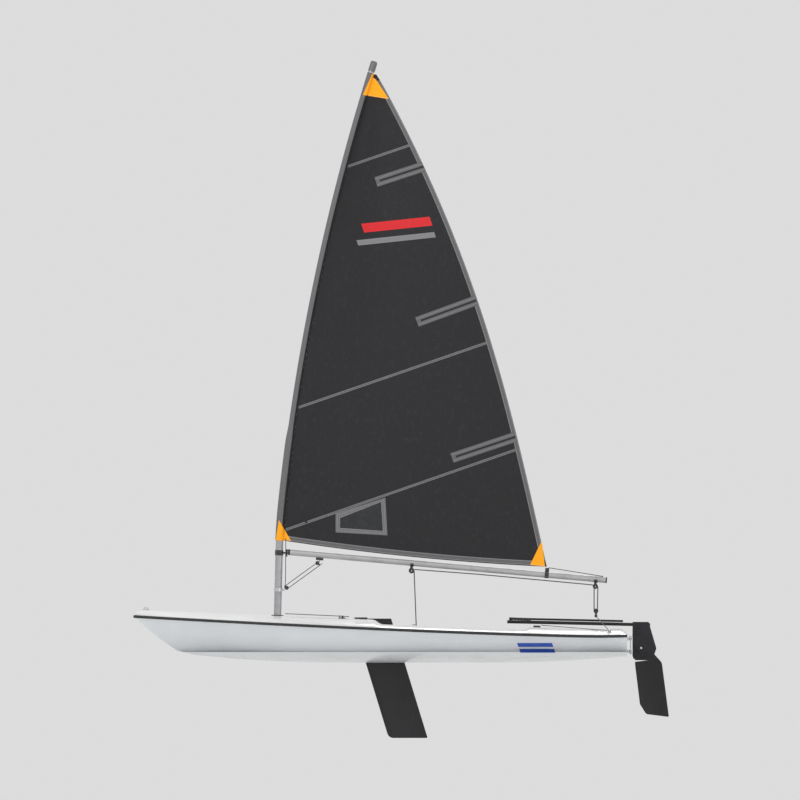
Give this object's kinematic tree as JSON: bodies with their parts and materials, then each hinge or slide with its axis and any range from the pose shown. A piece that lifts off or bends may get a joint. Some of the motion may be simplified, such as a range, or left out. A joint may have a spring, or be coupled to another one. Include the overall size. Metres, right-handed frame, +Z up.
{
  "type": "single-handed sailing dinghy",
  "caption": "Small cat-rigged dinghy with a sleeved sail on a two-part unstayed mast, a boom, a lifting daggerboard and a kick-up rudder.",
  "frame": {"origin": "on the waterline plane, on the centreline, half way along the hull", "axes": "+X forward to the bow, +Y to port, +Z up"},
  "size_m": [4.5519, 1.39, 5.7584],
  "materials": {
    "gelcoat_hull": "polished gelcoat",
    "gelcoat_deck": "gelcoat with moulded non-slip panels",
    "rubber_black": "matt rubber",
    "plastic_black": "moulded plastic, lightly worn",
    "mast_alloy": "anodised",
    "boom_alloy": "anodised",
    "black_alloy": "black anodised",
    "stainless": "satin",
    "foil_black": "black paint over a light core",
    "sailcloth_dark": "woven sailcloth",
    "sailcloth_grey": "woven sailcloth",
    "sailcloth_orange": "stitched patches",
    "webbing": "woven webbing",
    "window_film": "dark smoked flexible film"
  },
  "bodies": {
    "hull": {"hull_moulding": "gelcoat_hull", "deck_moulding": "gelcoat_deck", "cockpit_tub": "gelcoat_deck", "gunwale_strip": "rubber_black", "daggerboard_case": "gelcoat_deck", "mainsheet_console": "gelcoat_deck", "mast_step": "plastic_black", "bow_eye": "stainless", "control_line_cleats": "plastic_black", "ratchet_block": "plastic_black", "hiking_strap": "webbing", "strap_anchors": "stainless", "traveller_fairleads": "stainless", "traveller_cleat": "plastic_black", "traveller_block": "plastic_black", "rudder_gudgeons": "stainless", "transom_bung": "plastic_black"},
    "rig": {"lower_mast": "mast_alloy", "upper_mast": "mast_alloy", "mast_collar": "plastic_black", "masthead_plug": "plastic_black", "gooseneck": "plastic_black", "boom": "boom_alloy", "boom_end_caps": "plastic_black", "vang_tang": "stainless", "vang_blocks": "plastic_black", "mid_boom_block": "plastic_black", "boom_end_block": "plastic_black", "clew_strap": "webbing", "luff_sleeve": "sailcloth_grey", "sail": "sailcloth_dark", "batten_pockets": "sailcloth_grey", "sail_window": "window_film", "corner_patches": "sailcloth_orange"},
    "daggerboard": {"daggerboard": "foil_black", "board_stop": "rubber_black"},
    "rudder_head": {"rudder_head": "black_alloy", "pintles": "stainless", "blade_bolt": "stainless", "tiller": "black_alloy", "tiller_extension": "black_alloy"},
    "rudder_blade": {"rudder_blade": "foil_black"}
  },
  "joints": [
    {"name": "mast_rotation", "type": "hinge", "parent": "hull", "child": "rig", "pos_m": [0.871, 0, 0.30778], "axis": [-0.0262, 0, 0.9997], "range_deg": [-85, 85]},
    {"name": "daggerboard_slide", "type": "slide", "parent": "hull", "child": "daggerboard", "axis": [0.2924, 0, 0.9563], "range_m": [0, 0.4]},
    {"name": "rudder_steering", "type": "hinge", "parent": "hull", "child": "rudder_head", "pos_m": [-2.129, 0, 0.05], "axis": [0, 0, 1], "range_deg": [-45, 45]},
    {"name": "blade_kick_up", "type": "hinge", "parent": "rudder_head", "child": "rudder_blade", "pos_m": [-2.22, 0, 0.034], "axis": [0, 1, 0], "range_deg": [0, 80]}
  ]
}
